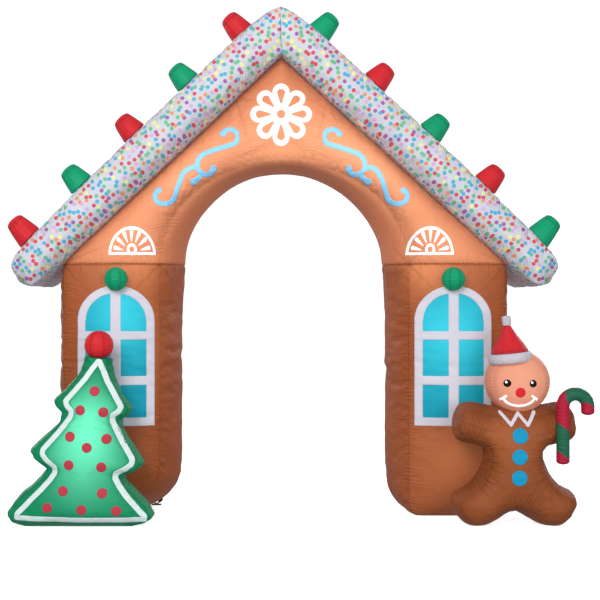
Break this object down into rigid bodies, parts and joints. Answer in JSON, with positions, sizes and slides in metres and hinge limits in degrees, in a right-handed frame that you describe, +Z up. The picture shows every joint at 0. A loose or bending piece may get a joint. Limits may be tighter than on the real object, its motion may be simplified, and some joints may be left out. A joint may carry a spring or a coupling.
{
  "type": "inflatable arch",
  "caption": "Inflatable walk-through archway in the form of a gingerbread house front, with candy roof planks, windows, a tree and a gingerbread figure on its air-filled legs",
  "frame": {"origin": "middle of the whole footprint, on the ground", "axes": "+Z up, -Y out of the front with the windows, +X to the right of someone who faces the front"},
  "size_m": [3.2946, 1.155, 2.9449],
  "materials": {
    "brown_cloth": "woven polyester, satin",
    "peach_cloth": "woven polyester, satin, lit from inside",
    "dotted_cloth": "printed woven polyester, satin",
    "red_cloth": "woven polyester, satin",
    "green_cloth": "woven polyester, satin",
    "window_cloth": "printed woven polyester, satin, lit from inside",
    "tree_cloth": "printed woven polyester, satin, lit from inside",
    "gingerbread_cloth": "woven polyester, satin",
    "face_cloth": "printed woven polyester, satin, lit from inside",
    "white_cloth": "woven polyester, satin",
    "cane_cloth": "printed woven polyester, satin",
    "webbing": "woven webbing, matte",
    "peg_metal": "dark painted steel"
  },
  "bodies": {
    "root": {"ball_left": "green_cloth", "ball_right": "green_cloth", "candy_cane": "cane_cloth", "figure_body": "gingerbread_cloth", "figure_head": "face_cloth", "gable": "peach_cloth", "gumdrop_left_1": "red_cloth", "gumdrop_left_2": "green_cloth", "gumdrop_left_3": "red_cloth", "gumdrop_left_4": "green_cloth", "gumdrop_left_5": "red_cloth", "gumdrop_right_1": "green_cloth", "gumdrop_right_2": "red_cloth", "gumdrop_right_3": "green_cloth", "gumdrop_right_4": "red_cloth", "gumdrop_right_5": "green_cloth", "hat_band": "white_cloth", "hat_cone": "red_cloth", "hat_tip": "white_cloth", "leg_left": "brown_cloth", "leg_right": "brown_cloth", "roof_left": "dotted_cloth", "roof_right": "dotted_cloth", "stake": "peg_metal", "tie_loop": "webbing", "tree": "tree_cloth", "tree_ball": "red_cloth", "window_left": "window_cloth", "window_right": "window_cloth"}
  },
  "joints": []
}
